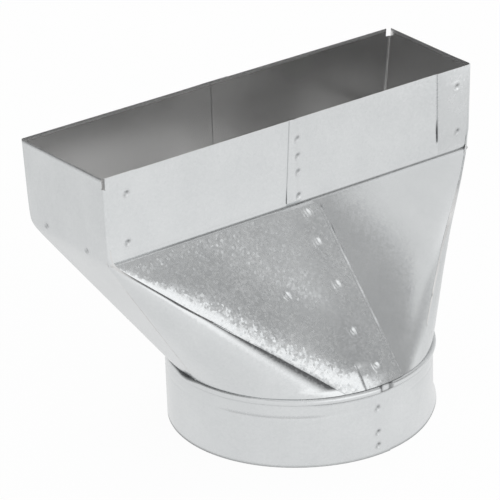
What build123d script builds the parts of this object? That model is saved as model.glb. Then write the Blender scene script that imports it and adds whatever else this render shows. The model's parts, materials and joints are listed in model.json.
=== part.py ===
from build123d import *
import os
from math import ceil, cos, radians, sin

# Register boot folded from galvanised sheet: a rectangular register box, a sloped
# square-to-round middle and a round duct collar under it.
# Frame: millimetres, +Z up, origin on the collar axis at its lower rim,
# +X along the mouth, -Y towards the sloped front panel.

# Sheet
sheet = 0.5
bend_radius = 1.5

# Register box, inside sizes
mouth_length = 254.0
mouth_width = 76.2
box_height = 50.8

# Square-to-round middle
slope_height = 83.6
front_panel_angle = 48.0
bend_line_angle = 7.5

# Round collar, with the bead and the inner flange that clamp the body's lower edge
duct_bore = 152.4
collar_height = 42.6
bead_height = 4.0
bead_rise = 1.8
bead_crest = 1.2
flange_reach = 3.0
flange_rise = 2.6
flange_gap = 0.3
seat_gap = 0.15
collar_lap_start = -130.0
collar_lap_end = -87.0

# Seams where the two halves of the body lap over each other
lap_root = 3.0
slope_lap_width = 15.0
slope_lap_chamfer = 5.0
slope_lap_foot = 3.0
box_lap_top = 2.6
box_lap_bottom = 6.5
box_lap_foot = 0.5
back_lap_width = 12.0

# Tabs and flange where the end walls are fixed to the front wall and to the slope
outer_tab_width = 23.4
outer_tab_length = 41.0
inner_tab_width = 20.0
inner_tab_foot = 8.0
end_flange_height = 6.0
end_flange_margin = 6.0

# Bend reliefs at the upper corners, and the open joint down the near-left corner
notch_width = 1.5
near_notch_depth = 6.0
far_notch_depth = 5.0
joint_width = 0.3
joint_foot = 4.0

# Levels and faces worked out from the sizes above
slope_bottom = collar_height
box_bottom = slope_bottom + slope_height
rim = box_bottom + box_height
outer_radius = duct_bore / 2 + sheet
half_length = mouth_length / 2 + sheet
half_width = mouth_width / 2 + sheet
box_centre = outer_radius - half_width
front_face = box_centre - half_width
back_face = box_centre + half_width
bead_foot = collar_height - bead_height
reach = half_length + half_width + outer_radius

# Planes that outlines are drawn on: one looks at the front, one at the ends
front_view = Plane.XZ.offset(-box_centre)
end_view = Plane.YZ


def polar(radius, angle):
    """Point of a plan-view circle about the collar axis."""
    return (radius * cos(radians(angle)), radius * sin(radians(angle)))


def bend_points(centre, radius, start, end, level):
    """Points round a plan-view arc, one for each bend line of a corner cone."""
    strips = ceil((end - start) / bend_line_angle)
    with BuildLine(Plane.XY.offset(level)):
        arc = CenterArc(centre, radius, start, end - start)
    return arc.positions([strip / strips for strip in range(strips + 1)])


def body_envelope(grow):
    """Solid bounded by the body's outer face, with every wall moved out by grow."""
    radius = outer_radius + grow
    corner = bend_radius + grow
    side_x = half_length + grow - corner
    half_angle = front_panel_angle / 2
    cone_angle = 90 - half_angle
    near_y = front_face - grow + corner * cos(radians(half_angle))
    far_y = back_face + grow - corner

    # Corner cones, near right to near left: each turns through the same angle at both ends
    turns = [
        ((side_x, near_y), -cone_angle, 0),
        ((side_x, far_y), 0, 90),
        ((-side_x, far_y), 90, 180),
        ((-side_x, near_y), 180, 180 + cone_angle),
    ]
    lows = [bend_points((0, 0), radius, start, end, slope_bottom) for _, start, end in turns]
    highs = [bend_points(centre, corner, start, end, box_bottom) for centre, start, end in turns]

    # The cones are bent in flat strips
    panels = []
    for low, high in zip(lows, highs):
        for strip in zip(low, low[1:], high[1:], high):
            panels.append(Face(Wire.make_polygon(strip)))

    # Between two cones the right end, the back and the left end are flat triangles
    for low, high, next_high in zip(lows, highs, highs[1:]):
        panels.append(Face(Wire.make_polygon([low[-1], next_high[0], high[-1]])))

    # The front panel is ruled from an arc of the collar to the box's front fold
    with BuildLine(Plane.XY.offset(slope_bottom)):
        front_arc = CenterArc((0, 0), radius, -90 - half_angle, front_panel_angle)
    front_fold = Edge.make_line(highs[-1][-1], highs[0][0])
    panels.append(Face.make_surface_from_curves(edge1=front_arc, edge2=front_fold))

    # Lower and upper faces close the slope, and the box stands on the upper one
    round_points = [point for low in lows for point in low[:-1]] + [lows[-1][-1]]
    round_edges = Wire.make_polygon(round_points, close=False).edges()
    round_face = Face(Wire([front_arc] + round_edges))
    square_face = Face(Wire.make_polygon([point for high in highs for point in high]))
    slope = Solid(Shell(panels + [round_face, square_face]))
    with BuildPart() as envelope:
        add(slope)
        extrude(square_face, amount=box_height, dir=(0, 0, 1))
    return envelope.part


outer_body = body_envelope(0)
inner_body = body_envelope(-sheet)
lap_body = body_envelope(sheet)
liner_body = body_envelope(-2 * sheet)


def layer(outside, inside, view, corners, depth):
    """Second sheet thickness between two envelopes, trimmed to an outline drawn in a view."""
    with BuildPart() as strip:
        add(outside)
        add(inside, mode=Mode.SUBTRACT)
        with BuildSketch(view):
            with BuildLine():
                Polyline(*corners, close=True)
            make_face()
        extrude(amount=depth, mode=Mode.INTERSECT)
    return strip.part


# Front slope seam: the left sheet laps over the right one, its upper corner cut off
slope_lap_top = box_bottom
slope_lap_low = slope_bottom + slope_lap_foot
slope_lap = layer(
    lap_body,
    outer_body,
    front_view,
    [
        (-lap_root, slope_lap_low),
        (slope_lap_width, slope_lap_low),
        (slope_lap_width, slope_lap_top - slope_lap_chamfer),
        (slope_lap_width - slope_lap_chamfer, slope_lap_top),
        (-lap_root, slope_lap_top),
    ],
    reach,
)

# Box front seam: the right sheet laps over the left one, with a slanted free edge
box_lap_low = box_bottom + box_lap_foot
box_lap = layer(
    lap_body,
    outer_body,
    front_view,
    [
        (lap_root, box_lap_low),
        (lap_root, rim),
        (-box_lap_top, rim),
        (-box_lap_bottom, box_lap_low),
    ],
    reach,
)

# Back seam: the left sheet laps over the right one from the rim to the collar
back_lap = layer(
    lap_body,
    outer_body,
    front_view,
    [
        (-lap_root, slope_lap_low),
        (back_lap_width, slope_lap_low),
        (back_lap_width, rim),
        (-lap_root, rim),
    ],
    -reach,
)

# Right end wall's tab, wrapped round the corner over the front wall
outer_tab = layer(
    lap_body,
    outer_body,
    front_view,
    [
        (half_length - outer_tab_width, rim - outer_tab_length),
        (half_length, rim - outer_tab_length),
        (half_length, rim),
        (half_length - outer_tab_width, rim),
    ],
    reach,
)

# Left end wall's tab, turned in behind the front wall
inner_tab = layer(
    inner_body,
    liner_body,
    front_view,
    [
        (-half_length, box_bottom + inner_tab_foot),
        (inner_tab_width - half_length, box_bottom + inner_tab_foot),
        (inner_tab_width - half_length, rim),
        (-half_length, rim),
    ],
    reach,
)

# Flange of the slope, turned up behind each end wall and welded to it
flange_outline = [
    (front_face + end_flange_margin, box_bottom),
    (back_face - end_flange_margin, box_bottom),
    (back_face - end_flange_margin, box_bottom + end_flange_height),
    (front_face + end_flange_margin, box_bottom + end_flange_height),
]
right_flange = layer(inner_body, liner_body, end_view, flange_outline, reach)
left_flange = layer(inner_body, liner_body, end_view, flange_outline, -reach)


# Left half of the body, one folded sheet
with BuildPart() as left_body_half:
    add(outer_body)
    add(inner_body, mode=Mode.SUBTRACT)
    split(bisect_by=Plane.YZ, keep=Keep.BOTTOM)
    add(slope_lap)
    add(back_lap)
    add(inner_tab)
    add(left_flange)
    # Relief at the top of the near corner bend
    with BuildSketch(Plane.XY.offset(rim)):
        with Locations((-half_length, front_face)):
            Rectangle(2 * notch_width, 2 * notch_width)
    extrude(amount=-near_notch_depth, mode=Mode.SUBTRACT)
    # Open joint between the corner bend and the edge of the front wall
    with BuildSketch(Plane.XY.offset(rim)):
        with Locations((notch_width - half_length, front_face)):
            Rectangle(joint_width, 2 * sheet, align=(Align.MIN, Align.CENTER))
    extrude(amount=joint_foot - box_height, mode=Mode.SUBTRACT)

# Right half of the body, one folded sheet
with BuildPart() as right_body_half:
    add(outer_body)
    add(inner_body, mode=Mode.SUBTRACT)
    split(bisect_by=Plane.YZ, keep=Keep.TOP)
    add(box_lap)
    add(outer_tab)
    add(right_flange)
    # Relief at the top of the far corner bend
    with BuildSketch(Plane.XY.offset(rim)):
        with Locations((half_length, back_face)):
            Rectangle(2 * notch_width, 2 * notch_width)
    extrude(amount=-far_notch_depth, mode=Mode.SUBTRACT)

# Collar, a strip rolled into a ring: plain below, beaded and turned in above
seat_radius = duct_bore / 2 - flange_gap
with BuildPart() as round_collar:
    with BuildSketch(Plane.XZ):
        with BuildLine():
            Polyline(
                (outer_radius, 0),
                (outer_radius, bead_foot),
                (outer_radius + bead_rise, bead_foot + (bead_height - bead_crest) / 2),
                (outer_radius + bead_rise, bead_foot + (bead_height + bead_crest) / 2),
                (seat_radius, collar_height - seat_gap),
                (seat_radius - flange_reach, collar_height - seat_gap + flange_rise),
            )
            offset(amount=sheet, side=Side.LEFT, kind=Kind.INTERSECTION)
        make_face()
    revolve(axis=Axis.Z)
    # Lapped end of the strip, rising gently to its free edge
    lap_middle = (collar_lap_start + collar_lap_end) / 2
    lap_inside = outer_radius - sheet / 2
    lap_outside = outer_radius + sheet
    lap_between = (lap_inside + lap_outside) / 2
    with BuildSketch():
        with BuildLine():
            ThreePointArc(
                polar(lap_inside, collar_lap_start),
                polar(lap_between, lap_middle),
                polar(lap_outside, collar_lap_end),
            )
            Line(polar(lap_outside, collar_lap_end), polar(lap_inside, collar_lap_end))
            ThreePointArc(
                polar(lap_inside, collar_lap_end),
                polar(lap_inside, lap_middle),
                polar(lap_inside, collar_lap_start),
            )
        make_face()
    extrude(amount=bead_foot)

left_body_half.part.label = "left_body_half"
right_body_half.part.label = "right_body_half"
round_collar.part.label = "round_collar"

os.makedirs("parts", exist_ok=True)
export_step(left_body_half.part, "parts/left_body_half.step")
export_step(right_body_half.part, "parts/right_body_half.step")
export_step(round_collar.part, "parts/round_collar.step")
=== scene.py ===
import json

import bpy
import numpy as np
from mathutils import Matrix, Vector


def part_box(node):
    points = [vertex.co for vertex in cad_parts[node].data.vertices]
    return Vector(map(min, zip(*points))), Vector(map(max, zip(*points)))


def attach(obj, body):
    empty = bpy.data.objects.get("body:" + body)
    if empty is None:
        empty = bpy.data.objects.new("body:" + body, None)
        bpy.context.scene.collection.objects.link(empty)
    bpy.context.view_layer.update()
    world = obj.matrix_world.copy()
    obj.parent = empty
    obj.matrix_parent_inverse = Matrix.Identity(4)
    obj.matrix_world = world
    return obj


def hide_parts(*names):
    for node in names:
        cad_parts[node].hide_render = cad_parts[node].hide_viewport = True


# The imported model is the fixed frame, and its box is the size that the looks keep to.
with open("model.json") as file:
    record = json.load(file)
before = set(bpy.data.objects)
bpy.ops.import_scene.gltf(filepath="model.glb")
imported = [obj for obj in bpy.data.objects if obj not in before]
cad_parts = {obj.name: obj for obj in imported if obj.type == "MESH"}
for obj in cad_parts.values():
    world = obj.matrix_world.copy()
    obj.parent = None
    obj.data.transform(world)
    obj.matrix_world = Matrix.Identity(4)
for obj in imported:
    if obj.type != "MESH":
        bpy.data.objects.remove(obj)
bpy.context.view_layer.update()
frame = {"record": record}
bpy.ops.object.select_all(action="DESELECT")


# The body is two sheets of galvanised steel, each cut as one flat blank and bent round into
# half of the register box above and half of the square-to-round slope below. A blank is a
# grid, with rows from the collar up to the rim and columns from the front seam round to the back.
mm = 0.001
sheet = 0.5 * mm
left_low, left_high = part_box("left_body_half")
rim = left_high.z
slope_foot = left_low.z
half_length = -left_low.x
collar_radius = frame["record"]["mounts"][0]["dims"]["r_mm"] * mm + sheet
box_height = 50.8 * mm
fold = rim - box_height
front_face = -sheet
back_face = collar_radius
corner_bend = 1.6 * mm
side_x = half_length - corner_bend
crease_angle = {-1: np.radians(18), 1: np.radians(24)}
end_angle = np.radians(4)
front_fold_bend = 1.0 * mm
end_fold_bend = 3.5 * mm

# The end walls lean out at the rim, more at the far corners
near_lean = {-1: 0.3 * mm, 1: 1.8 * mm}
far_lean = {-1: 2.0 * mm, 1: 5.0 * mm}
lean_power = 3

# Columns crowd together at the near crease and at the free edge of a lap, and rows at the fold
near_columns = 44
far_columns = 14
back_columns = 26
front_lap_columns = 24
back_lap_columns = 4
near_crowding = 1.7
lap_crowding = 1.3
notch_reach = 1.2 * mm
foot_band = 14 * mm
fold_band = 3 * mm
fine_gap = 0.8 * mm
slope_gap = 1.1 * mm
fold_gap = 0.3 * mm


def ease(start, end, value):
    """Smooth step, 0 up to start and 1 from end on."""
    t = np.clip((value - start) / (end - start), 0, 1)
    return t * t * (3 - 2 * t)


def hump(value, centre, width):
    """Rounded hump, 1 at its centre and gone two widths away."""
    return np.exp(-(((value - centre) / width) ** 2))


def grid_lines(stops, gaps):
    """Lines from the first stop to the last, each stretch filled at its own spacing."""
    lines = [np.array(stops[:1])]
    for start, end, gap in zip(stops, stops[1:], gaps):
        count = max(1, round(abs(end - start) / gap))
        lines.append(np.linspace(start, end, count + 1)[1:])
    return np.concatenate(lines)


body_rows = grid_lines(
    [slope_foot, slope_foot + foot_band, fold - fold_band, fold + fold_band, rim],
    [fine_gap, slope_gap, fold_gap, fine_gap],
)

# Spot welds: a crater with a low ring round it, and painted shade beside it
crater_depth = 0.55 * mm
crater_width = 1.3 * mm
ring_height = 0.2 * mm
ring_reach = 2.5 * mm
ring_width = 0.7 * mm
weld_shade_dark = 0.8
weld_shade_faint = 0.4
weld_shade_width = 1.0 * mm


def weld_form(gap):
    """Crater of a spot weld and the ring round it, by the distance from its middle."""
    return ring_height * hump(gap, ring_reach, ring_width) - crater_depth * hump(gap, 0, crater_width)


def weld_shade(away, shadow):
    """Painted shade of a spot weld's crater: a dark spot on its shadow side and a fainter one opposite.
    """
    dark = np.linalg.norm(away - shadow, axis=-1)
    faint = np.linalg.norm(away + shadow, axis=-1)
    crater_shade = weld_shade_dark * hump(dark, 0, weld_shade_width) + weld_shade_faint * hump(faint, 0, weld_shade_width)
    return crater_shade * (np.linalg.norm(shadow) > 0)


# The panel beside the near-left crease stays flat until it nears the collar, and the groove along
# the front fold with painted shade in it, and the painted shade on the cut edge of the rim, are the same
# on both halves
flat_stretch = (0.45, 0.88)
round_stretch = (-0.7, -0.05)
groove_depth = 0.55 * mm
groove_width = 0.5 * mm
lip_height = 0.15 * mm
lip_above = 2.0 * mm
lip_width = 0.8 * mm
rim_shade = 0.9
rim_shade_width = 1.0 * mm

# Inner faces show little spangle, and a flange or a tab lies just under the sheet
inner_spangle = 0.06
liner_depth = 1.1 * sheet
tiny = 1e-12


class BentHalf:
    """Outer face of one body half, as arrays of rows by columns.

    own_x is the distance from the seams, negative on a lap that reaches past them, and down
    is the share of the slope that a row lies below the fold.
    """

    def __init__(self, side, front_lines, end_lines, front_lap, back_lap):
        quarter = np.pi / 2
        near = quarter * np.linspace(0, 1, near_columns + 1)[1:] ** near_crowding
        far = quarter * np.linspace(0, 1, far_columns + 1)[1:]
        back_lines = np.linspace(side_x - notch_reach, 0, back_columns)
        lap = 1 - np.linspace(0, 1, front_lap_columns + 1)[:-1] ** lap_crowding
        past_back = np.linspace(0, 1, back_lap_columns + 1)[1:]
        counts = [front_lap_columns, len(front_lines), near_columns, len(end_lines), far_columns]
        marks = np.cumsum(counts)
        columns = marks[-1] + len(back_lines) + back_lap_columns
        index = np.arange(columns)
        self.on_front = index < marks[1]
        self.on_near_bend = (index >= marks[1]) & (index < marks[2])
        self.on_end = (index >= marks[2]) & (index < marks[3])
        self.on_far_bend = (index >= marks[3]) & (index < marks[4])
        self.on_front_lap = index < marks[0]
        self.on_back_lap = index >= columns - back_lap_columns
        self.on_cone = self.on_near_bend | self.on_end

        # Plan of the box: where each column stands on its walls
        back_y = back_face - corner_bend
        wall_x = np.concatenate([
            0 * lap,
            front_lines,
            side_x + corner_bend * np.sin(near),
            half_length + 0 * end_lines,
            side_x + corner_bend * np.cos(far),
            back_lines,
            -back_lap * past_back,
        ])
        wall_y = np.concatenate([
            front_face + 0 * lap,
            front_face + 0 * front_lines,
            front_face + corner_bend * (1 - np.cos(near)),
            end_lines,
            back_y + corner_bend * np.sin(far),
            back_face + 0 * back_lines,
            back_face + 0 * past_back,
        ])

        # Plan of the collar: the angle from the front at which each column meets it
        end_share = np.linspace(-1, 1, len(end_lines))
        crease = crease_angle[side]
        angle = np.concatenate([
            0 * lap,
            crease * front_lines / side_x,
            crease + (quarter - end_angle - crease) * near / quarter,
            quarter + end_angle * end_share,
            quarter + end_angle + (quarter - 2 * end_angle) * far / quarter,
            np.pi - end_angle * back_lines / side_x,
            np.pi + back_lap * past_back / collar_radius,
        ])

        # The fold between box and slope: tight along the front, easy round the ends
        bend = np.where(self.on_front, front_fold_bend, end_fold_bend)
        z = body_rows[:, None] + 0 * wall_x
        drop = fold - z
        soft_drop = (drop + np.sqrt(drop**2 + bend**2)) / 2
        self.z = z
        self.down = np.minimum(soft_drop / (fold - slope_foot), 1)

        # The front lap keeps its width down the slope
        half_width = (1 - self.down) * side_x + self.down * collar_radius * crease
        share = np.where(self.on_front, wall_x / side_x, 1) + 0 * z
        lap_share = -front_lap[:, None] * lap / half_width[:, :front_lap_columns]
        share[:, :front_lap_columns] = lap_share
        self.share = share
        wall_x = np.where(self.on_front, share * side_x, wall_x)
        angle = np.where(self.on_front, share * crease, angle)

        # Straight from collar to fold, apart from the panel that stays flat
        bulge = collar_radius * (np.cos(angle) - np.cos(crease)) * self.on_front
        flat = ease(*flat_stretch, self.down)
        roundness = ease(*round_stretch, side * share)
        rounded = flat + (self.down - flat) * roundness
        self.own_x = (1 - self.down) * wall_x + self.down * collar_radius * np.sin(angle)
        self.y = (1 - self.down) * wall_y - self.down * collar_radius * np.cos(angle)
        self.y += bulge * (self.down - rounded)
        lean = near_lean[side] + (far_lean[side] - near_lean[side]) * self.y / back_face
        above = np.clip((z - fold) / box_height, 0, 1)
        self.own_x += lean * above * np.abs(self.own_x / half_length) ** lean_power

        # Distances from the crease, along the panel and round the cone
        self.crease_gap = (1 - share) * half_width
        cone_turn = (angle - crease) * collar_radius * self.down
        self.cone_gap = cone_turn + (wall_y - front_face) * (1 - self.down)
        self.cone_run = (quarter - crease) * collar_radius * self.down + mm
        self.side = side
        self.rise = 0 * z
        # Painted shade and some real dirt, one amount per point
        self.dirt_and_shade = 0 * z
        self.kept = np.ones((z.shape[0] - 1, z.shape[1] - 1), bool)

    def cut(self, columns, low, high):
        """Cuts the blank away between two heights, on the columns marked."""
        rows = (body_rows[:-1] >= low) & (body_rows[1:] <= high)
        across = columns[:-1] | columns[1:]
        self.kept &= ~(rows[:, None] & across)

    def points(self):
        """Places of the grid's points, before anything stands proud of them."""
        return np.stack([self.side * self.own_x, self.y, self.z], axis=-1)

    def weld(self, spot, shadow, size=1):
        """Presses a spot weld at the grid point nearest a spot, with painted shade on its shadow side.
        """
        places = self.points()
        gap = np.linalg.norm(places - np.array(spot), axis=-1)
        centre = places[np.unravel_index(np.argmin(gap), gap.shape)]
        self.rise += size * weld_form(np.linalg.norm(places - centre, axis=-1) / size)
        self.dirt_and_shade += weld_shade(places - centre, np.array(shadow))

    def fold_groove(self, darkening):
        """Presses the groove along the front fold, with a low lip above it and painted shade in it."""
        groove = hump(self.z, fold, groove_width) * self.on_front
        lip = hump(self.z, fold + lip_above, lip_width) * self.on_front
        self.rise += lip_height * lip - groove_depth * groove
        self.dirt_and_shade += darkening * groove

    def shade_rim(self):
        """Paints shade on the cut edge of the rim, on the end and back walls."""
        self.dirt_and_shade += rim_shade * hump(self.z, rim, rim_shade_width) * ~(self.on_front | self.on_near_bend)

    def surface(self, depth=0):
        """Places of the grid's points, moved out by what stands proud and in by a depth."""
        places = self.points()
        across = np.gradient(places, axis=1)
        along = np.gradient(places, axis=0)
        outward = self.side * np.cross(across, along)
        outward /= np.linalg.norm(outward, axis=-1, keepdims=True) + tiny
        return places + outward * (self.rise[..., None] - depth)

    def sheet_piece(self, name):
        """The half's own sheet, cut, bent and thickened."""
        dirt_and_shade = np.clip(self.dirt_and_shade, 0, 1)
        blank = bent_blank(name, self.surface(), self.kept, dirt_and_shade, self.spangle, self.side < 0)
        thicken(blank)
        return blank

    def liner(self, name, rows, columns):
        """Flange or tab that lies behind the sheet, on the rows and columns marked."""
        places = self.surface(liner_depth)[rows][:, columns]
        bare = np.zeros(places.shape[:2])
        kept = np.ones((places.shape[0] - 1, places.shape[1] - 1), bool)
        blank = bent_blank(name, places, kept, bare, bare + inner_spangle, self.side < 0)
        thicken(blank)
        return blank


def bent_blank(name, places, kept, dirt_and_shade, spangle, flip):
    """Flat grid with its cut-outs taken away, bent into place by moving its points."""
    rows, columns = places.shape[:2]
    bpy.ops.mesh.primitive_grid_add(x_subdivisions=columns - 1, y_subdivisions=rows - 1, size=1)
    blank = bpy.context.object
    blank.name = name
    bpy.ops.object.mode_set(mode="EDIT")
    bpy.ops.mesh.select_mode(type="FACE")
    bpy.ops.mesh.select_all(action="DESELECT")
    bpy.ops.object.mode_set(mode="OBJECT")
    mesh = blank.data
    mesh.name = name
    flat = np.empty(len(mesh.vertices) * 3)
    mesh.vertices.foreach_get("co", flat)
    flat = flat.reshape(-1, 3)
    column = np.rint((flat[:, 0] + 0.5) * (columns - 1)).astype(int)
    row = np.rint((flat[:, 1] + 0.5) * (rows - 1)).astype(int)
    for face in mesh.polygons:
        face_column = int((face.center.x + 0.5) * (columns - 1))
        face_row = int((face.center.y + 0.5) * (rows - 1))
        face.select = not kept[face_row, face_column]
    mesh.vertices.foreach_set("co", places[row, column].ravel())
    # The first attribute carries painted shade and some real dirt, the second the spangle
    for label, value in (("dirt_and_shade", dirt_and_shade), ("spangle", spangle)):
        layer = mesh.attributes.new(label, "FLOAT", "POINT")
        layer.data.foreach_set("value", value[row, column].astype(np.float32))
    bpy.ops.object.mode_set(mode="EDIT")
    if not kept.all():
        bpy.ops.mesh.delete(type="FACE")
    bpy.ops.mesh.select_all(action="SELECT")
    if flip:
        bpy.ops.mesh.flip_normals()
    bpy.ops.object.mode_set(mode="OBJECT")
    return blank


smooth_angle = np.radians(35)


def thicken(blank):
    """Gives a bent blank its thickness inwards, and smooth faces between its sharp edges."""
    bpy.ops.object.select_all(action="DESELECT")
    blank.select_set(True)
    bpy.context.view_layer.objects.active = blank
    outer_points = len(blank.data.vertices)
    wall = blank.modifiers.new("sheet", "SOLIDIFY")
    wall.thickness = sheet
    wall.offset = -1
    bpy.ops.object.modifier_apply(modifier=wall.name)
    bpy.ops.object.shade_smooth_by_angle(angle=smooth_angle)
    mesh = blank.data
    inner = np.arange(len(mesh.vertices)) >= outer_points
    spangle = np.empty(len(inner), np.float32)
    mesh.attributes["spangle"].data.foreach_get("value", spangle)
    mesh.attributes["spangle"].data.foreach_set("value", np.where(inner, inner_spangle, spangle))
    layer = mesh.attributes.new("inner", "FLOAT", "POINT")
    layer.data.foreach_set("value", inner.astype(np.float32))
    bpy.ops.object.select_all(action="DESELECT")


def join(main, others):
    """Welds loose flanges and tabs to a half, as parts of its mesh."""
    bpy.ops.object.select_all(action="DESELECT")
    for piece in (main, *others):
        piece.select_set(True)
    bpy.context.view_layer.objects.active = main
    bpy.ops.object.join()
    bpy.ops.object.select_all(action="DESELECT")


# Hot-dip zinc on every sheet: a pale grey metal with a spangle of small crystals, each tilted
# a little its own way. Painted shade, with some real dirt, darkens and dulls it in the folds, gaps,
# laps, welds and edges. The inner faces have a plainer grey.
class Shade:
    """A shader socket. Arithmetic on it adds Math nodes, and node() adds any other node."""

    def __init__(self, tree, socket=None):
        self.tree = tree
        self.socket = socket

    def node(self, kind, output=None, settings=None, inputs=None):
        """Adds a node of a kind, sets its settings and then its inputs, and gives one output."""
        made = self.tree.nodes.new(kind)
        for name, value in (settings or {}).items():
            setattr(made, name, value)
        for key, value in (inputs or {}).items():
            if isinstance(value, Shade):
                self.tree.links.new(value.socket, made.inputs[key])
            else:
                made.inputs[key].default_value = value
        return Shade(self.tree, None if output is None else made.outputs[output])

    def math(self, operation, first, second):
        """Adds a Math node on two values."""
        return self.node("ShaderNodeMath", 0, {"operation": operation}, {0: first, 1: second})

    def __add__(self, other):
        return self.math("ADD", self, other)

    def __sub__(self, other):
        return self.math("SUBTRACT", self, other)

    def __rsub__(self, other):
        return self.math("SUBTRACT", other, self)

    def __mul__(self, other):
        return self.math("MULTIPLY", self, other)

    __radd__ = __add__
    __rmul__ = __mul__


def empty_shade(owner):
    """Empties the nodes of a material or a world, and gives the start of new ones."""
    owner.use_nodes = True
    owner.node_tree.nodes.clear()
    return Shade(owner.node_tree)


def mixed(factor, first, second):
    """Colour between two others, by a factor."""
    return factor.node("ShaderNodeMix", 2, {"data_type": "RGBA"}, {0: factor, 6: first, 7: second})


dark_zinc = (0.60, 0.618, 0.627, 1)
pale_zinc = (0.79, 0.805, 0.81, 1)
inner_zinc = (0.72, 0.719, 0.716, 1)
dirt_and_shade_colour = (0.05, 0.052, 0.055, 1)
crystal_size = 1.25 * mm
cloud_size = 28 * mm
cloud_detail = 3
grain_size = 0.9 * mm
grain_detail = 2
middle = 0.5
zinc = bpy.data.materials.new("galvanised_zinc")
shade = empty_shade(zinc)
place = shade.node("ShaderNodeTexCoord", "Object")
dirt_and_shade = shade.node("ShaderNodeAttribute", "Fac", {"attribute_name": "dirt_and_shade"})
spangle = shade.node("ShaderNodeAttribute", "Fac", {"attribute_name": "spangle"})
inner = shade.node("ShaderNodeAttribute", "Fac", {"attribute_name": "inner"})
crystals = shade.node(
    "ShaderNodeTexVoronoi", "Color", None, {"Vector": place, "Scale": 1 / crystal_size}
)
crystal = shade.node("ShaderNodeSeparateColor", 0, None, {0: crystals})
clouds = shade.node(
    "ShaderNodeTexNoise", "Fac", None, {"Vector": place, "Scale": 1 / cloud_size, "Detail": cloud_detail}
)
grain = shade.node(
    "ShaderNodeTexNoise", "Fac", None, {"Vector": place, "Scale": 1 / grain_size, "Detail": grain_detail}
)

# Colour: clouds, crystals and grain shift the zinc between dark and pale, and painted shade and dirt
# cover it
cloud_tone = 0.6
crystal_tone = 0.45
grain_tone = 0.25
dirt_and_shade_cover = 0.9
darkening = shade.math("MINIMUM", dirt_and_shade * (middle + grain), 1)
spangled = (crystal - middle) * spangle
tone = middle + (clouds - middle) * cloud_tone + spangled * crystal_tone + (grain - middle) * grain_tone
clean = mixed(inner, mixed(tone, dark_zinc, pale_zinc), inner_zinc)
colour = mixed(darkening * dirt_and_shade_cover, clean, dirt_and_shade_colour)

# Roughness: crystals and clouds vary it, and the painted shade and dirt and the inner face dull it
plain_rough = 0.185
spangle_rough = 0.1
most_spangle = 0.5
dirt_and_shade_rough = 0.3
inner_rough = 0.065
crystal_rough = 0.14
cloud_rough = 0.06
dirt_and_shade_metal_loss = 0.6
dulled = plain_rough + shade.math("MINIMUM", spangle, most_spangle) * spangle_rough
dulled = dulled + darkening * dirt_and_shade_rough + inner * inner_rough
roughness = dulled + spangled * crystal_rough + (clouds - middle) * cloud_rough

# Each crystal's face is tilted, and the grain stands up a little
crystal_tilt = 0.12
grain_strength = 0.12
grain_height = 0.1 * mm
face_normal = shade.node("ShaderNodeNewGeometry", "Normal")
tilt = shade.node(
    "ShaderNodeVectorMath", 0, {"operation": "SUBTRACT"}, {0: crystals, 1: (middle, middle, middle)}
)
tilt = shade.node(
    "ShaderNodeVectorMath", 0, {"operation": "SCALE"}, {0: tilt, "Scale": spangle * crystal_tilt}
)
tilted = shade.node("ShaderNodeVectorMath", 0, {"operation": "ADD"}, {0: face_normal, 1: tilt})
tilted = shade.node("ShaderNodeVectorMath", 0, {"operation": "NORMALIZE"}, {0: tilted})
rough_face = shade.node(
    "ShaderNodeBump",
    0,
    None,
    {"Strength": grain_strength, "Distance": grain_height, "Height": grain, "Normal": tilted},
)
metal = shade.node(
    "ShaderNodeBsdfPrincipled",
    0,
    None,
    {
        "Base Color": colour,
        "Metallic": 1 - darkening * dirt_and_shade_metal_loss,
        "Roughness": roughness,
        "Normal": rough_face,
    },
)
shade.node("ShaderNodeOutputMaterial", None, None, {"Surface": metal})


# Left body half: its sheet laps over the right one on the slope and at the back, its end wall
# is tucked in behind the front wall at the near corner, and the near crease of its slope is
# pinched into a ridge with painted shade and some real dirt in the fold under it.
slope_lap_width = 15 * mm
slope_lap_chamfer = 5 * mm
slope_lap_gap = 0.2 * mm
slope_joggle = 30 * mm
back_lap_width = 12 * mm
back_joggle = 25 * mm
near_notch = 6.5 * mm
step_near = 0.3 * mm
step_far = 2.5 * mm
near_weld_y = 20 * mm
near_weld_rise = 2 * mm
far_weld_y = 59 * mm
far_weld_rise = 4 * mm
weld_band = 6 * mm
end_gap = 1.8 * mm
seam_band = 10 * mm
mark_start = 45 * mm
mark_end = 54 * mm
corner_band = 96 * mm
seam_gap = 0.7 * mm
wide_gap = 2 * mm
left_end_lines = grid_lines(
    [
        front_face + corner_bend,
        near_weld_y - weld_band,
        near_weld_y + weld_band,
        far_weld_y - weld_band,
        far_weld_y + weld_band,
        back_face - corner_bend,
    ],
    [end_gap, fine_gap, end_gap, fine_gap, end_gap],
)
left_front_lines = grid_lines(
    [0, seam_band, mark_start, mark_end, corner_band, side_x],
    [seam_gap, wide_gap, seam_gap, wide_gap, fine_gap],
)
chamfer_left = np.clip(body_rows - (fold - slope_lap_chamfer), 0, slope_lap_chamfer)
left = BentHalf(-1, left_front_lines, left_end_lines, slope_lap_width - chamfer_left, back_lap_width)
left.cut(left.on_front_lap, fold - slope_lap_gap, rim)
left.cut(left.on_near_bend, rim - near_notch, rim)
left.shade_rim()
past_left_seam = -left.own_x
on_slope = 1 - ease(fold - step_far, fold - step_near, left.z)
left.rise += sheet * ease(-slope_joggle, 0, past_left_seam) * on_slope * left.on_front
left.rise += sheet * ease(-back_joggle, 0, past_left_seam) * (left.y > back_face / 2)

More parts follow.
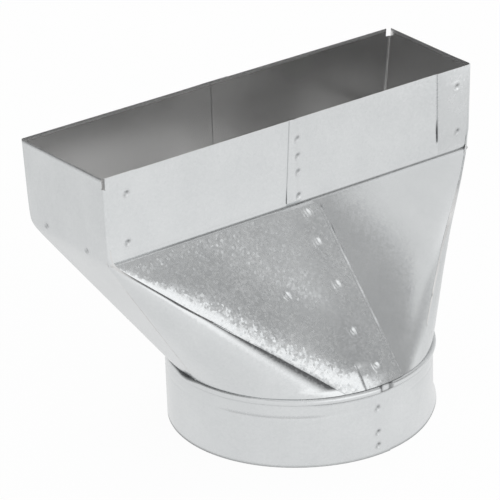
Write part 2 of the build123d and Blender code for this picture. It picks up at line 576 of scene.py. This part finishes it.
# The free edge of the slope lap lifts a little, in waves, with painted shade along it
edge_lift = 0.17 * mm
edge_width = 1.6 * mm
edge_shade = 0.5
edge_shade_width = 0.6 * mm
lift_start = (0.08, 0.3)
lift_end = (0.7, 0.88)
least_lift = 0.25
wave_turn = 38
wave_phase = 0.84
lap_lift = edge_lift * ease(*lift_start, left.down) * (1 - ease(*lift_end, left.down))
lap_wave = 0.5 + 0.5 * np.sin(wave_turn * left.down + wave_phase)
lap_lift = lap_lift * (least_lift + (1 - least_lift) * lap_wave) * left.on_front
edge_line = slope_lap_width - edge_width
left.rise += lap_lift * ease(edge_line, slope_lap_width, past_left_seam)
left.dirt_and_shade += edge_shade * hump(past_left_seam, edge_line, edge_shade_width) * on_slope * left.on_front

# The panel rolls over at its near crease, where the sheet is pinched. The roll starts at the box
# corner, grows and tightens down the slope, and ends at the collar
roll_least = 0.9 * mm
roll_gain = 3.2 * mm
roll_loss = 1.4 * mm
roll_steepness = 0.5
roll_grows = (0.04, 0.3)
roll_tightens = (0.45, 0.75)
roll_starts = (0.0, 0.05)
roll_ends = (0.92, 1.0)
panel_swell = 0.6
swell_fade = (12 * mm, 60 * mm)
cone_sink = 0.4
roll_length = roll_least + roll_gain * ease(*roll_grows, left.down)
roll_length = roll_length - roll_loss * ease(*roll_tightens, left.down)
edge_drop = roll_steepness * roll_length * ease(*roll_starts, left.down)
edge_drop = edge_drop * (1 - ease(*roll_ends, left.down))
panel_roll = panel_swell * (1 - ease(*swell_fade, left.crease_gap))
panel_roll = panel_roll - np.exp(-left.crease_gap / roll_length)
cone_roll = -cone_sink * (1 - ease(0, left.cone_run, left.cone_gap)) * left.on_cone
left.rise += edge_drop * np.where(left.on_front, panel_roll, cone_roll)

# Under the rolled edge the cone is sunk into a pocket that widens down the slope and ends short of
# the collar. Painted shade with some real dirt fills it, the painted shade darkest in the fold line,
# and specks of dirt lie on the edge above
pocket_end = (0.945, 0.97)
pocket_least_width = 2.5 * mm
pocket_widening = 13.0 * mm
pocket_widens = (0.25, 0.95)
pocket_least_depth = 0.1 * mm
pocket_deepening = 0.6 * mm
pocket_deepens = (0.3, 0.85)
pocket_wall = 1.5 * mm
pocket_floor = 0.3
pocket_reach = 2.0
pocket_shade_starts = (0.02, 0.12)
pocket_shade_thickens = (0.3, 0.6)
first_pocket_dirt_and_shade = 0.5
more_pocket_dirt_and_shade = 0.6
pocket_shade_shoulder = 0.02
pocket_shade_fade = 2.4
fold_line_shade = 0.5
fold_line_width = 1.1 * mm
speck_seed = 7
speck_dirt = 0.7
speck_reach = 1.5 * mm
speck_stretch = (0.3, 0.7)
ended = 1 - ease(*pocket_end, left.down)
pocket_width = pocket_least_width + pocket_widening * ease(*pocket_widens, left.down)
pocket_depth = (pocket_least_depth + pocket_deepening * ease(*pocket_deepens, left.down)) * ended
sunk = 1 - ease(pocket_floor * pocket_width, pocket_reach * pocket_width, left.cone_gap)
left.rise -= pocket_depth * ease(0, pocket_wall, left.cone_gap) * sunk * left.on_cone
pocket_dirt_and_shade = first_pocket_dirt_and_shade * ease(*pocket_shade_starts, left.down) + more_pocket_dirt_and_shade * ease(*pocket_shade_thickens, left.down)
pocket_shade_spread = (1 - ease(pocket_shade_shoulder * pocket_width, pocket_width, left.cone_gap)) ** pocket_shade_fade
left.dirt_and_shade += pocket_dirt_and_shade * ended * pocket_shade_spread * left.on_cone
fold_line = hump(left.cone_gap, 0, fold_line_width) * ease(*pocket_shade_starts, left.down) * ended
left.dirt_and_shade += fold_line_shade * fold_line * left.on_cone
specks = np.random.default_rng(speck_seed).random(left.z.shape) ** 2
speck_edge = np.exp(-left.crease_gap / speck_reach) * ease(*speck_stretch, left.down) * ended
left.dirt_and_shade += speck_dirt * specks * speck_edge * left.on_front

# Over the collar the sheet turns down, as far as a slit left of the seam, with painted shadow in the
# slit
slit_x = 12 * mm
slit_step = 0.8 * mm
slit_starts = (0.85, 0.9)
hump_across = (-5 * mm, 35 * mm)
hump_height = 1.6 * mm
hump_grows = (0.45, 0.84)
hump_top = 0.84
slit_shadow = 0.8
slit_shadow_offset = 0.5 * mm
slit_shadow_width = 0.6 * mm
slit_shadow_starts = (0.87, 0.9)
turned_down = np.clip((left.down - hump_top) / (1 - hump_top), 0, 1) ** 2
slit_share = ease(*slit_starts, left.down)
slit_side = slit_share * ease(slit_x, slit_x + slit_step, left.own_x)
slit_side = slit_side + (1 - slit_share) * ease(*hump_across, left.own_x)
left.rise += hump_height * ease(*hump_grows, left.down) * (1 - turned_down) * slit_side * left.on_front
slit_line = hump(left.own_x, slit_x - slit_shadow_offset, slit_shadow_width) * left.on_front
left.dirt_and_shade += slit_shadow * slit_line * ease(*slit_shadow_starts, left.down)

# Groove along the front fold, with painted shade in it, and the joint line down the near corner
left_groove_shade = 0.7
groove_shade_loss = 0.6
groove_shade_fade = (75 * mm, 110 * mm)
joint_depth = 0.25 * mm
joint_offset = 0.5 * mm
joint_width = 0.4 * mm
joint_foot = 4 * mm
joint_run = 9 * mm
left.fold_groove(left_groove_shade * (1 - groove_shade_loss * ease(*groove_shade_fade, left.own_x)))
joint_line = hump(left.crease_gap, joint_offset, joint_width) * left.on_front
left.rise -= joint_depth * joint_line * ease(fold + joint_foot, fold + joint_run, left.z)

# Welds down the slope lap, a small one on the panel, and those of the tab and of the end flange
slope_welds = ((4.5 * mm, 0.06), (2.3 * mm, 0.22), (1.4 * mm, 0.45), (-3.0 * mm, 0.70), (1.0 * mm, 0.90))
slope_weld_size = 0.95
small_weld = (-31 * mm, -32 * mm, 91 * mm)
small_weld_size = 0.85
left_tab_weld_x = -113.5 * mm
left_tab_welds = (12 * mm, 40.5 * mm)
shadow_reach = 0.8 * mm
no_shadow = (0, 0, 0)
front_shadow = (shadow_reach, 0, shadow_reach)
end_shadow = (0, -shadow_reach, shadow_reach)
for weld_x, share_down in slope_welds:
    weld_y = front_face - share_down * (collar_radius - sheet)
    left.weld((weld_x, weld_y, fold - share_down * (fold - slope_foot)), no_shadow, slope_weld_size)
left.weld(small_weld, no_shadow, small_weld_size)
for depth in left_tab_welds:
    left.weld((left_tab_weld_x, front_face, rim - depth), front_shadow)
left.weld((-half_length, far_weld_y, fold + far_weld_rise), end_shadow)
left.weld((-half_length, near_weld_y, fold + near_weld_rise), end_shadow)

# Coarse spangle shows on the front panel, most along its crease
plain_spangle = 0.35
panel_spangle = 0.3
spangle_gain = 0.55
spangle_grows = (5 * mm, 60 * mm)
crease_spangle = 1.8
crease_spangle_fade = (4 * mm, 26 * mm)
crease_spangle_grows = (0.12, 0.75)
panel_starts = (0.0, 0.04)
by_crease = (1 - ease(*crease_spangle_fade, left.crease_gap)) * ease(*crease_spangle_grows, left.down)
coarse = panel_spangle + spangle_gain * ease(*spangle_grows, left.own_x) + crease_spangle * by_crease
left.spangle = plain_spangle + coarse * left.on_front * ease(*panel_starts, left.down)
left_half = left.sheet_piece("left_half_sheet")

# Inside, the end wall's tab lies behind the front wall, and the slope's flange behind the end wall
inner_tab_width = 20 * mm
inner_tab_foot = 8 * mm
flange_height = 6.2 * mm
flange_margin = 6 * mm
tab_columns = left.on_front & (left.share[-1] > 1 - inner_tab_width / side_x)
flange_rows = (body_rows > fold - fold_band) & (body_rows < fold + flange_height)


def flange_columns(half):
    """Columns of an end wall that its flange lies behind."""
    level = half.y[-1]
    return half.on_end & (level > front_face + flange_margin) & (level < back_face - flange_margin)


left_tab = left.liner("left_tab", body_rows > fold + inner_tab_foot, tab_columns)
left_flange = left.liner("left_flange", flange_rows, flange_columns(left))
join(left_half, [left_tab, left_flange])
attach(left_half, "root")
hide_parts("left_body_half")
left_half.data.materials.append(zinc)


# Right body half: its sheet laps over the left one on the front of the box, with a slanted
# free edge, and its end wall wraps round the near corner in a tab over the front wall.
box_lap_top = 2.6 * mm
box_lap_bottom = 6.5 * mm
box_lap_gap = 0.4 * mm
box_joggle = 4 * mm
back_spare = 0.5 * mm
far_notch = 5 * mm
outer_tab_width = 23.4 * mm
tab_edge = half_length - outer_tab_width
tab_edge_gap = 0.12 * mm
right_end_gap = 1.6 * mm
right_front_lines = grid_lines(
    [0, seam_band, corner_band, tab_edge - mm, tab_edge + mm, side_x],
    [seam_gap, wide_gap, fine_gap, tab_edge_gap, fine_gap],
)
right_end_lines = grid_lines([front_face + corner_bend, back_face - corner_bend], [right_end_gap])
rim_gap = np.clip((rim - body_rows) / box_height, 0, 1)
box_lap = box_lap_top + (box_lap_bottom - box_lap_top) * rim_gap
right = BentHalf(1, right_front_lines, right_end_lines, box_lap, back_spare)
right.cut(right.on_front_lap, 0, fold + box_lap_gap)
right.cut(right.on_back_lap, 0, rim)
right.cut(right.on_far_bend, rim - far_notch, rim)
right.shade_rim()

# The box lap steps over the left sheet, and its lower corner lifts
corner_lift = 0.3 * mm
lift_across = (1 * mm, 6 * mm)
lift_foot = 2 * mm
lift_top = 14 * mm
past_right_seam = -right.own_x
on_box = ease(fold + step_near, fold + step_far, right.z)
right.rise += sheet * ease(-box_joggle, 0, past_right_seam) * on_box * right.on_front
low_corner = 1 - ease(fold + lift_foot, fold + lift_top, right.z)
right.rise += corner_lift * ease(*lift_across, past_right_seam) * low_corner * on_box

# The right crease is a soft turn that starts a little below the box corner
turn_widest = 32 * mm
turn_narrowing = 10 * mm
steepest_tilt = 0.17
tilt_grows = (0.15, 0.5)
tilt_loss = 0.4
turn_ends = (0.6, 1.0)
turned_back_run = 0.8
turn_width = turn_widest - turn_narrowing * right.down
turn_tilt = steepest_tilt * ease(*tilt_grows, right.down) * (1 - tilt_loss * right.down)
panel_drop = turn_tilt * turn_width / 2 * (1 - ease(*turn_ends, right.down))
turned_in = np.clip(1 - right.crease_gap / turn_width, 0, 1) ** 2
turned_back = (1 - ease(0, turned_back_run * right.cone_run, right.cone_gap)) * right.on_cone
right.rise -= panel_drop * np.where(right.on_front, turned_in, turned_back)

# Painted shade beside the upper part of that crease, and painted shadow under the edge of the slope lap
crease_shade = 0.5
crease_shade_offset = 1.4 * mm
crease_shade_width = 1.3 * mm
crease_shade_starts = (0.0, 0.05)
crease_shade_ends = (0.42, 0.5)
lap_shadow_offset = 0.5 * mm
lap_shadow_width = 0.6 * mm
upper_shadow = 0.65
upper_shadow_ends = (0.15, 0.5)
lower_shadow = 0.25
lower_shadow_ends = (0.75, 0.9)
lap_shadow_starts = (0.02, 0.06)
beside_crease = hump(right.cone_gap, crease_shade_offset, crease_shade_width) * right.on_cone
beside_crease = beside_crease * ease(*crease_shade_starts, right.down)
right.dirt_and_shade += crease_shade * beside_crease * (1 - ease(*crease_shade_ends, right.down))
under_lap = hump(right.own_x, slope_lap_width + lap_shadow_offset, lap_shadow_width) * right.on_front
lap_shadow = upper_shadow * (1 - ease(*upper_shadow_ends, right.down))
lap_shadow = lap_shadow + lower_shadow * (1 - ease(*lower_shadow_ends, right.down))
right.dirt_and_shade += lap_shadow * under_lap * ease(*lap_shadow_starts, right.down)

# The tab, flush again round the corner, and the slit that gapes at its lower end. Painted shadow lies in
# the slit and along the tab's edge, and the tab is a little darker all over
tab_step = 0.1 * mm
tab_run_out = 18 * mm
tab_foot = 45 * mm
tab_full = 39 * mm
tab_darkening = 0.09
gape_depth = 0.9 * mm
gape_offset = 0.35 * mm
gape_width = 0.4 * mm
gape_foot = (43 * mm, 41 * mm)
gape_top = (36 * mm, 26 * mm)
gape_shadow = 0.9
tab_edge_shadow = 0.3
tab_reach = ease(tab_edge - tab_step, tab_edge + tab_step, right.own_x) * right.on_front
tab_reach = tab_reach + right.on_near_bend
tab_reach = tab_reach + (1 - ease(0, tab_run_out, right.y)) * right.on_end
tab_height = ease(rim - tab_foot, rim - tab_full, right.z)
right.rise += sheet * tab_reach * tab_height
below_rim = right.z - rim
gape = ease(-gape_foot[0], -gape_foot[1], below_rim) * (1 - ease(-gape_top[0], -gape_top[1], below_rim))
tab_line = hump(right.own_x, tab_edge - gape_offset, gape_width) * right.on_front
right.rise -= gape_depth * tab_line * gape
# Painted shadow in the slit and along the tab's edge, and a slight darkening over the tab
right.dirt_and_shade += tab_line * (gape_shadow * gape + tab_edge_shadow * tab_height)
right.dirt_and_shade += tab_darkening * tab_reach * right.on_front * on_box

# Groove along the front fold with painted shade in it, welds of the box seam and of the tab, and a finer
# spangle on the panel
right_groove_shade = 0.75
box_seam_weld_x = 2 * mm
box_seam_welds = (12 * mm, 22 * mm, 32 * mm, 46 * mm)
right_tab_weld_x = half_length - 9 * mm
right_tab_welds = (11 * mm, 39 * mm)
spangle_loss = 0.22
right.fold_groove(right_groove_shade)
for depth in box_seam_welds:
    right.weld((box_seam_weld_x, front_face, rim - depth), front_shadow)
for depth in right_tab_welds:
    right.weld((right_tab_weld_x, front_face, rim - depth), front_shadow)
right.spangle = plain_spangle - spangle_loss * right.on_front * ease(*panel_starts, right.down)
right_half = right.sheet_piece("right_half_sheet")
right_flange = right.liner("right_flange", flange_rows, flange_columns(right))
join(right_half, [right_flange])
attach(right_half, "root")
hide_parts("right_body_half")
right_half.data.materials.append(zinc)


# The collar is a strip of the same sheet, rolled into a ring and welded where its ends lap,
# with a bead rolled near its top edge and the edge turned in to hold the body's lower edge.
lap_end = np.radians(-87)
lap_length = np.radians(43)
bead_foot = 38.6 * mm
bead_height = 4.0 * mm
bead_rise = 1.8 * mm
bead_squash = 0.97
seat_gap = 0.15 * mm
flange_in = np.array([-0.9, -2.0, -3.8]) * mm
flange_up = np.array([0.05, 0.9, 2.4]) * mm
weld_turn = 0.22
weld_turn_lines = 36
strip_columns = 330
wall_gap = 0.75 * mm
bead_rows = 15
collar_top = slope_foot - seat_gap
full_turn = 2 * np.pi
strip_lines = np.concatenate([
    np.linspace(0, weld_turn, weld_turn_lines)[:-1],
    np.linspace(weld_turn, full_turn + lap_length, strip_columns),
])
strip_angle = lap_end - strip_lines
facing = np.degrees(np.arctan2(np.sin(strip_angle), np.cos(strip_angle)))
wall_z = grid_lines([0, bead_foot], [wall_gap])
bead_turn = np.linspace(0, np.pi, bead_rows)[1:]
profile_out = np.concatenate([0 * wall_z, bead_rise * np.sin(bead_turn), flange_in])
profile_z = np.concatenate([
    wall_z,
    bead_foot + bead_height / 2 * (1 - np.cos(bead_turn)) * bead_squash,
    collar_top + flange_up,
])
on_bead = np.concatenate([0 * wall_z, 1 + 0 * bead_turn, 0 * flange_in])[:, None]
strip_z = profile_z[:, None] + 0 * strip_lines

# The bead breaks off beside the lap, gapes from the body far left and is pressed flat next to that.
# Turns along the bead are in degrees
break_turn = 2.2
break_edge = (1.8, 3.2)
break_depth = 0.85
gape_angle = 177
gape_turn = 6
flat_share = 0.65
flat_fade = (38, 56)
from_break = strip_lines - np.radians(break_turn)
front_turn = np.degrees(np.minimum(np.abs(from_break), np.abs(from_break - full_turn)))
bead_break = 1 - break_depth * (1 - ease(*break_edge, front_turn))
bead_gap = np.degrees(np.arccos(np.cos(strip_angle - np.radians(gape_angle))))
open_seat = hump(bead_gap, 0, gape_turn)
flat_bead = flat_share * (1 - ease(*flat_fade, bead_gap)) * (1 - open_seat)
rolled = profile_out[:, None] * np.where(on_bead > 0, bead_break * (1 - flat_bead), 1)

# The ends lap over each other, a shallow ring runs under the bead, and the lower edge flares out
# on the right
ring_z = 31.3 * mm
ring_depth = 0.22 * mm
ring_groove = 0.8 * mm
flare_reach = 3.2 * mm
flare_height = 13 * mm
flare_angle = np.radians(-22)
flare_spread = 0.17
outer_layer = sheet * ease(lap_length, 0, strip_lines)
inner_layer = -sheet * ease(full_turn, full_turn + lap_length / 3, strip_lines)
strip_radius = collar_radius + outer_layer + inner_layer + rolled
strip_radius -= ring_depth * hump(strip_z, ring_z, ring_groove)
flare_turn = np.sin((strip_angle - flare_angle) / 2)
strip_radius += flare_reach * (1 - ease(0, flare_height, strip_z)) * hump(flare_turn, 0, flare_spread)
strip = np.stack(
    [strip_radius * np.cos(strip_angle), strip_radius * np.sin(strip_angle), strip_z], axis=-1
)

# Painted shade lies along the bead, most at the front, and painted shadow in its gap, and the bead is
# darker at its break. Painted shade also lies on the left of the ring, and painted shadow along the
# lower edge
front_starts = (-128, -112)
front_ends = (-50, -20)
ring_starts = (-166, -154)
ring_ends = (-124, -112)
close_fade = (10, 36)
bead_shade = 0.1
bead_foot_shade = 0.55
bead_top_shade = 0.35
bead_shade_width = 0.6 * mm
close_shade = 0.6
close_shade_width = 0.45 * mm
open_shadow_width = 0.8 * mm
ring_shade = 0.3
ring_shade_width = 0.5 * mm
break_line = 2.5
break_line_width = 0.8
lower_edge_shadow = 0.5
lower_side_shadow = 0.4
lower_edge_shadow_width = 0.9 * mm
lower_side_angle = np.radians(-36)
bead_front = ease(*front_starts, facing) * (1 - ease(*front_ends, facing))
ring_front = ease(*ring_starts, facing) * (1 - ease(*ring_ends, facing))
close_seat = (1 - ease(*close_fade, bead_gap)) * (1 - open_seat)
lower_side = np.cos(strip_angle - lower_side_angle) ** 2
strip_dirt_and_shade = (bead_shade + bead_foot_shade * bead_front) * hump(strip_z, bead_foot, bead_shade_width)
strip_dirt_and_shade += (bead_shade + bead_top_shade * bead_front) * hump(strip_z, collar_top, bead_shade_width)
strip_dirt_and_shade += close_shade * close_seat * hump(strip_z, collar_top, close_shade_width)
strip_dirt_and_shade += ring_shade * ring_front * hump(strip_z, ring_z, ring_shade_width)
strip_dirt_and_shade += open_seat * hump(strip_z, collar_top, open_shadow_width)
strip_dirt_and_shade += hump(front_turn, break_line, break_line_width) * on_bead
strip_dirt_and_shade += (lower_edge_shadow + lower_side_shadow * lower_side) * hump(strip_z, 0, lower_edge_shadow_width)

# Three welds down the lap
weld_angle = np.radians(-93.5)
collar_welds = (29.4 * mm, 14.3 * mm, 6.1 * mm)
lap_weld_x = collar_radius * np.cos(weld_angle)
lap_weld_y = collar_radius * np.sin(weld_angle)
seen_square = np.array([1, 0, 1])
near_weld = (strip_lines < lap_length) * (strip[..., 1] < 0)
for weld_z in collar_welds:
    weld_away = (strip - np.array([lap_weld_x, lap_weld_y, weld_z])) * seen_square
    strip[..., 1] -= weld_form(np.linalg.norm(weld_away, axis=-1)) * near_weld
    strip_dirt_and_shade += weld_shade(weld_away, np.array(front_shadow)) * near_weld
strip_kept = np.ones((len(profile_z) - 1, len(strip_lines) - 1), bool)
strip_dirt_and_shade = np.clip(strip_dirt_and_shade, 0, 1)
collar = bent_blank("collar_strip", strip, strip_kept, strip_dirt_and_shade, plain_spangle + 0 * strip_z, True)
thicken(collar)
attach(collar, "root")
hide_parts("round_collar")
collar.data.materials.append(zinc)


# Stage: a plain white floor that keeps a soft shadow and shows white to the camera. In the metal it
# glows as painted light, a little dimmer towards the back and the right, and inside the collar with
# painted shade on the left and a painted pool of light brighter than white on the right.
floor_size = 8
floor_drop = 0.2 * mm
paper_white = (0.9, 0.9, 0.9, 1)
shown_white = 0.95
bpy.ops.mesh.primitive_plane_add(size=floor_size, location=(0, 0, -floor_drop))
floor = bpy.context.object
floor.name = "studio_floor"
paper = bpy.data.materials.new("white_paper")
ink = empty_shade(paper)
camera_ray = ink.node("ShaderNodeLightPath", "Is Camera Ray")
glossy_ray = ink.node("ShaderNodeLightPath", "Is Glossy Ray")
through_ray = ink.node("ShaderNodeLightPath", "Is Transmission Ray")
spot = ink.node("ShaderNodeTexCoord", "Object")
across_floor = ink.node("ShaderNodeSeparateXYZ", "X", None, {0: spot})
along_floor = ink.node("ShaderNodeSeparateXYZ", "Y", None, {0: spot})


def fade(value, stretch, levels):
    """Goes from the first level to the second while a value crosses a stretch."""
    ends = {"From Min": stretch[0], "From Max": stretch[1], "To Min": levels[0], "To Max": levels[1]}
    return value.node("ShaderNodeMapRange", 0, None, {"Value": value, **ends})


def floor_gap(centre):
    """Distance over the floor from a place."""
    return ink.node("ShaderNodeVectorMath", 1, {"operation": "DISTANCE"}, {0: spot, 1: centre})


back_stretch = (-0.22, 0.12)
back_levels = (1.0, 0.87)
right_stretch = (0.08, 0.32)
right_levels = (0.0, 0.08)
shade_place = (-0.036, -0.008, 0)
shade_stretch = (0.026, 0.056)
shade_levels = (0.0, 1.0)
lit_place = (0.032, 0.026, 0)
lit_stretch = (0.026, 0.056)
lit_levels = (1.6, 0.8)
least_level = 0.05
outside = fade(along_floor, back_stretch, back_levels) - fade(across_floor, right_stretch, right_levels)
shaft = fade(floor_gap(shade_place), shade_stretch, shade_levels)
inside = least_level + shaft * fade(floor_gap(lit_place), lit_stretch, lit_levels)
out_of_axis = ink.node("ShaderNodeVectorMath", 1, {"operation": "LENGTH"}, {0: spot})
in_collar = ink.math("LESS_THAN", out_of_axis, collar_radius)
mirrored = outside * (1 - in_collar) + inside * in_collar
matt = ink.node("ShaderNodeBsdfDiffuse", 0, None, {"Color": paper_white})
glow = ink.node(
    "ShaderNodeEmission",
    0,
    None,
    {"Color": mirrored * glossy_ray + camera_ray + through_ray, "Strength": 1},
)
seen = ink.math("MAXIMUM", camera_ray * shown_white, ink.math("MAXIMUM", glossy_ray, through_ray))
page = ink.node("ShaderNodeMixShader", 0, None, {0: seen, 1: matt, 2: glow})
ink.node("ShaderNodeOutputMaterial", None, None, {"Surface": page})
floor.data.materials.append(paper)

# Light: a pale dome, brighter overhead and in front, with a dim patch high up on the right and
# another on the left
world = bpy.data.worlds.new("studio_dome")
bpy.context.scene.world = world
dome = empty_shade(world)
direction = dome.node("ShaderNodeTexCoord", "Generated")


def lobe(aim, full, gone):
    """Patch of the dome around an aim, 1 within the full angle and gone at the other, in degrees."""
    towards = Vector(aim).normalized()
    cosine = dome.node(
        "ShaderNodeVectorMath", 1, {"operation": "DOT_PRODUCT"}, {0: direction, 1: towards}
    )
    return dome.node(
        "ShaderNodeMapRange",
        0,
        {"interpolation_type": "SMOOTHSTEP"},
        {"Value": cosine, "From Min": np.cos(np.radians(gone)), "From Max": np.cos(np.radians(full))},
    )


dome_level = 0.93
top_gain = 0.25
front_gain = 0.38
right_loss = 0.49
left_loss = 0.6
top_light = lobe((0.35, 0.20, 0.90), full=8, gone=40)
front_light = lobe((0.10, -0.92, 0.35), full=16, gone=40)
right_shade = lobe((0.71, -0.34, 0.62), full=15, gone=30)
left_shade = lobe((-0.88, 0.28, 0.38), full=12, gone=45)
lamps = dome_level + top_light * top_gain + front_light * front_gain
lamps = lamps - right_shade * right_loss - left_shade * left_loss
dome_seen = dome.node("ShaderNodeLightPath", "Is Camera Ray")
level = lamps * (1 - dome_seen) + dome_seen
sky = dome.node("ShaderNodeBackground", 0, None, {"Color": level, "Strength": 1})
dome.node("ShaderNodeOutputWorld", None, None, {"Surface": sky})

# A soft box close by on the right, mirrored in the right half of the front panel
box_aim = Vector((0.58, -0.48, 0.655)).normalized()
box_level = Vector((0.806, 0.43, -0.398)).normalized()
box_turn = np.radians(25)
box_distance = 0.15
box_width = 0.13
box_length = 0.16
box_power = 1.25
edge_on_panel = Vector((0.054, -0.030, 0.092))
box_across = Matrix.Rotation(box_turn, 3, box_aim) @ box_level
box_along = box_aim.cross(box_across)
softbox_light = bpy.data.lights.new("right_softbox", "AREA")
softbox_light.shape = "RECTANGLE"
softbox_light.size = box_width
softbox_light.size_y = box_length
softbox_light.energy = box_power * box_width * box_length
softbox = bpy.data.objects.new("right_softbox", softbox_light)
bpy.context.scene.collection.objects.link(softbox)
softbox_axes = Matrix((box_across, box_along, box_aim)).transposed().to_4x4()
softbox_place = edge_on_panel + box_distance * box_aim + box_width / 2 * box_across
softbox.matrix_world = Matrix.Translation(softbox_place) @ softbox_axes
softbox.visible_camera = False

# Camera at the photograph's viewing angle
eye_azimuth = np.radians(-36.088)
eye_elevation = np.radians(24.62)
eye_roll = np.radians(-1.972)
eye_distance = 1.702506
eye_target = Vector((-0.024783, 0.010, 0.101663))
backward = Vector((
    np.sin(eye_azimuth) * np.cos(eye_elevation),
    -np.cos(eye_azimuth) * np.cos(eye_elevation),
    np.sin(eye_elevation),
))
level_right = Vector((0, 0, 1)).cross(backward).normalized()
level_up = backward.cross(level_right)
camera_right = np.cos(eye_roll) * level_right + np.sin(eye_roll) * level_up
camera_up = -np.sin(eye_roll) * level_right + np.cos(eye_roll) * level_up
lens = bpy.data.cameras.new("camera")
lens.sensor_width = 36
lens.lens = 218.3
camera = bpy.data.objects.new("camera", lens)
bpy.context.scene.collection.objects.link(camera)
camera_axes = Matrix((camera_right, camera_up, backward)).transposed().to_4x4()
camera.matrix_world = Matrix.Translation(eye_target + eye_distance * backward) @ camera_axes
bpy.context.scene.camera = camera
bpy.context.scene.view_settings.view_transform = "Standard"
